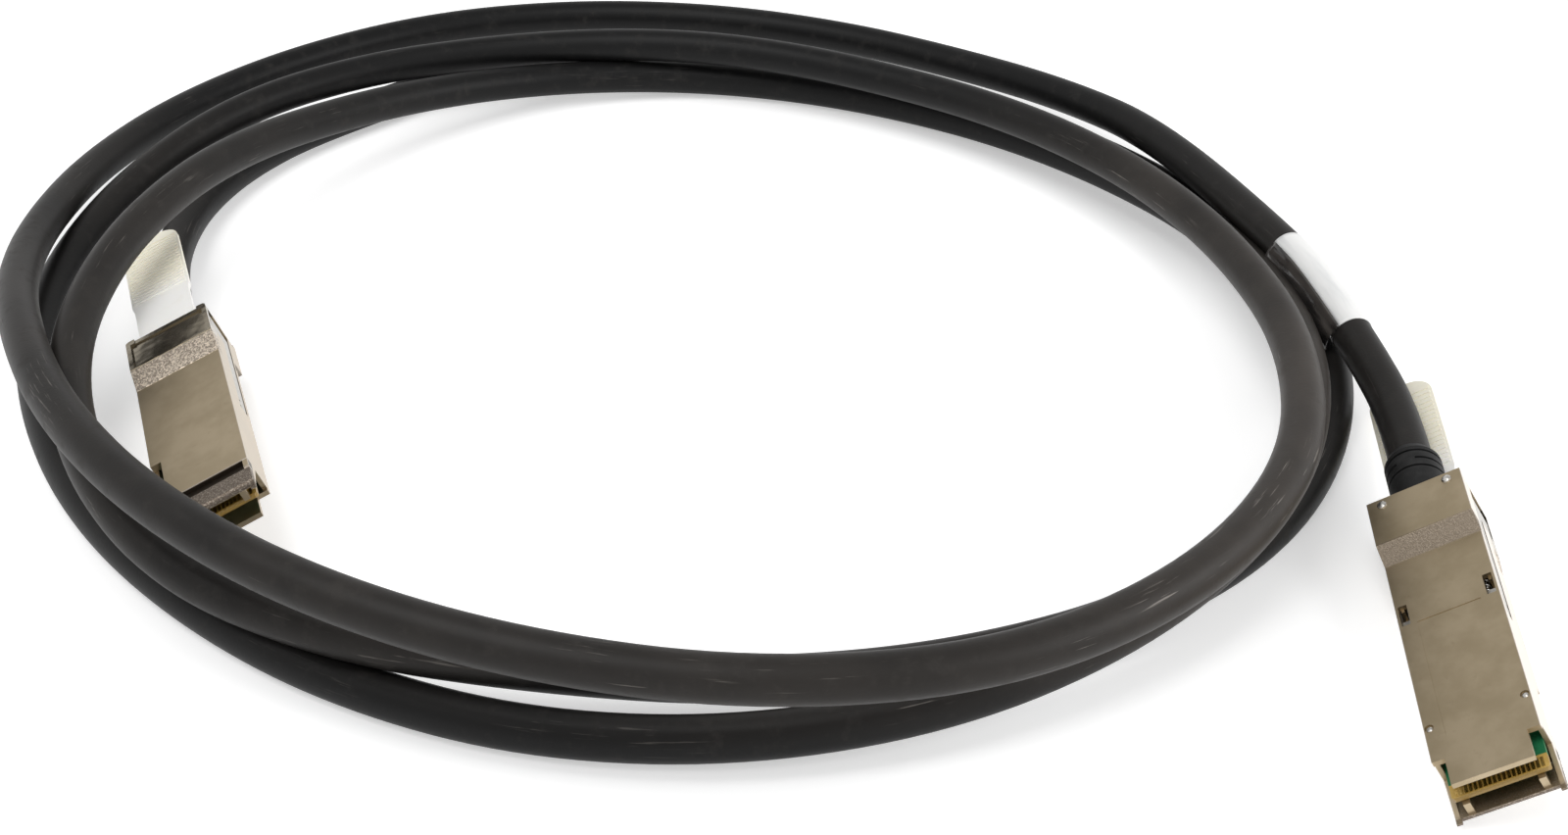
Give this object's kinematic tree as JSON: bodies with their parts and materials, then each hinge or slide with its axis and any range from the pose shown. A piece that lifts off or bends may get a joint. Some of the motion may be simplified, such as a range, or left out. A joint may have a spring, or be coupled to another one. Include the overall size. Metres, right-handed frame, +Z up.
{
  "type": "direct attach copper cable",
  "caption": "Copper network cable in a loose coil, a metal edge-card plug with a pull tab, release slide and ringed boot at each end.",
  "frame": {"origin": "on the surface the cable lies on, under the middle of the box around both plugs", "axes": "+Z up; the lying plug points along -Y; the held plug is on the -X side inside the coil"},
  "size_m": [0.3143, 0.3094, 0.0356],
  "materials": {
    "cast_nickel": "satin nickel plate over a fine cast grain",
    "cover_nickel": "satin nickel plate, smoother than the casting",
    "card": "green solder mask over fibreglass, gold-edged front",
    "gold": "hard gold plate",
    "tab": "ivory moulded plastic, fine ribs",
    "stamped_steel": "stamped stainless",
    "spring_wire": "drawn wire",
    "rivet_steel": "polished domes",
    "boot": "matt moulded",
    "ferrule": "crimped sleeve",
    "pair_jacket": "foil-backed film",
    "hot_melt": "moulded block",
    "cable_jacket": "matt black jacket with light scuffs",
    "label_white": "white print area, left blank",
    "laminate": "clear overlaminate"
  },
  "bodies": {
    "assembly": {"cable_coil": "cable_jacket", "cable_crossing": "cable_jacket", "label_band": "label_white", "label_laminate": "laminate", "left_bottom_cover": "cover_nickel", "left_contact_pads": "gold", "left_core_block": "hot_melt", "left_crimp_ferrule": "ferrule", "left_front_rivets": "rivet_steel", "left_lead": "cable_jacket", "left_paddle_card": "card", "left_rear_rivets": "rivet_steel", "left_return_springs": "spring_wire", "left_strain_relief": "boot", "left_top_housing": "cast_nickel", "left_wire_pairs": "pair_jacket", "right_bottom_cover": "cover_nickel", "right_contact_pads": "gold", "right_core_block": "hot_melt", "right_crimp_ferrule": "ferrule", "right_front_rivets": "rivet_steel", "right_lead": "cable_jacket", "right_paddle_card": "card", "right_rear_rivets": "rivet_steel", "right_return_springs": "spring_wire", "right_strain_relief": "boot", "right_top_housing": "cast_nickel", "right_wire_pairs": "pair_jacket"},
    "right_release": {"right_release_slide": "stamped_steel", "right_pull_tab": "tab"},
    "left_release": {"left_release_slide": "stamped_steel", "left_pull_tab": "tab"}
  },
  "joints": [
    {"name": "right_release", "type": "slide", "parent": "assembly", "child": "right_release", "axis": [0, 1, 0], "range_m": [0, 0.002], "stiffness_N_per_m": 400, "deforming": ["right_return_springs"]},
    {"name": "left_release", "type": "slide", "parent": "assembly", "child": "left_release", "axis": [-0.4146, 0.9056, -0.0889], "range_m": [0, 0.002], "stiffness_N_per_m": 400, "deforming": ["left_return_springs"]}
  ]
}
